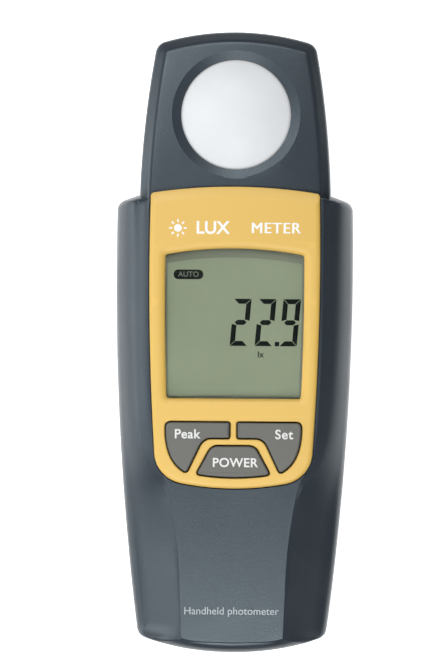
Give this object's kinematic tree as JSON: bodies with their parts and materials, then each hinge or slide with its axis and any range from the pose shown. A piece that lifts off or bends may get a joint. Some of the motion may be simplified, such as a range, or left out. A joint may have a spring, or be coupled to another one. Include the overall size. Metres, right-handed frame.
{
  "type": "light meter",
  "caption": "Handheld light meter with a white diffuser over the sensor, a liquid crystal display, three push keys and a sliding battery door.",
  "frame": {"origin": "under the middle of the case, on the plane of its back", "axes": "+X to the right of the display, +Y along the case to the sensor end, +Z out of the display"},
  "size_m": [0.0612, 0.162, 0.0278],
  "materials": {
    "case_plastic": "fine moulded grain",
    "amber_faceplate": "satin",
    "clear_window": "clear acrylic",
    "label_stock": "satin film",
    "diffuser": "milky",
    "black_rubber": "matte",
    "black_plastic": "matte",
    "green_filter": "polished",
    "sensor_can": "satin",
    "circuit_board": "solder mask",
    "flat_cable": "satin",
    "display_glass": "polariser film",
    "silicone": "matte",
    "chip_epoxy": "matte",
    "steel_can": "satin",
    "capacitor_sleeve": "satin",
    "trimmer_blue": "satin",
    "key_plastic": "satin",
    "carbon": "matte",
    "red_insulation": "satin",
    "black_insulation": "satin",
    "zinc_screw": "zinc plated",
    "cell_sleeve": "shrink sleeve",
    "contact_spring": "nickel plated"
  },
  "bodies": {
    "case": {"front_case": "case_plastic", "rear_case": "case_plastic", "front_bezel": "amber_faceplate", "display_window": "clear_window", "rear_label": "label_stock", "sensor_dome": "diffuser", "dome_seal": "black_rubber", "sensor_holder": "black_plastic", "photopic_filter": "green_filter", "photodiode": "sensor_can", "sensor_board": "circuit_board", "sensor_ribbon": "flat_cable", "main_board": "circuit_board", "lcd_glass": "display_glass", "lcd_frame": "black_plastic", "zebra_strip_upper": "silicone", "zebra_strip_lower": "silicone", "keypad_mat": "silicone", "controller_chip": "chip_epoxy", "amplifier_chip": "chip_epoxy", "quartz_crystal": "steel_can", "smoothing_capacitor": "capacitor_sleeve", "calibration_trimmer": "trimmer_blue", "case_screw_upper_left": "zinc_screw", "case_screw_upper_right": "zinc_screw", "case_screw_lower_left": "zinc_screw", "case_screw_lower_right": "zinc_screw", "board_screw_upper_left": "zinc_screw", "board_screw_upper_right": "zinc_screw", "board_screw_lower_left": "zinc_screw", "board_screw_lower_right": "zinc_screw", "sensor_screw_left": "zinc_screw", "sensor_screw_right": "zinc_screw", "battery_cell_left": "cell_sleeve", "battery_cell_middle": "cell_sleeve", "battery_cell_right": "cell_sleeve", "battery_contact_lower_pair": "contact_spring", "battery_contact_lower_single": "contact_spring", "battery_contact_upper_single": "contact_spring", "battery_contact_upper_pair": "contact_spring", "battery_lead_red": "red_insulation", "battery_lead_black": "black_insulation"},
    "unit_button": {"key_unit": "key_plastic", "contact_pill_unit": "carbon"},
    "func_button": {"key_func": "key_plastic", "contact_pill_func": "carbon"},
    "power_button": {"key_power": "key_plastic", "contact_pill_power": "carbon"},
    "door": {"battery_door": "case_plastic"}
  },
  "joints": [
    {"name": "unit_press", "type": "slide", "parent": "case", "child": "unit_button", "axis": [0, 0, -1], "range_m": [0, 0.001], "stiffness_N_per_m": 900, "springref_m": -0.0003},
    {"name": "func_press", "type": "slide", "parent": "case", "child": "func_button", "axis": [0, 0, -1], "range_m": [0, 0.001], "stiffness_N_per_m": 900, "springref_m": -0.0003},
    {"name": "power_press", "type": "slide", "parent": "case", "child": "power_button", "axis": [0, 0, -1], "range_m": [0, 0.001], "stiffness_N_per_m": 900, "springref_m": -0.0003},
    {"name": "door_slide", "type": "slide", "parent": "case", "child": "door", "axis": [0, -1, 0], "range_m": [0, 0.052]}
  ]
}
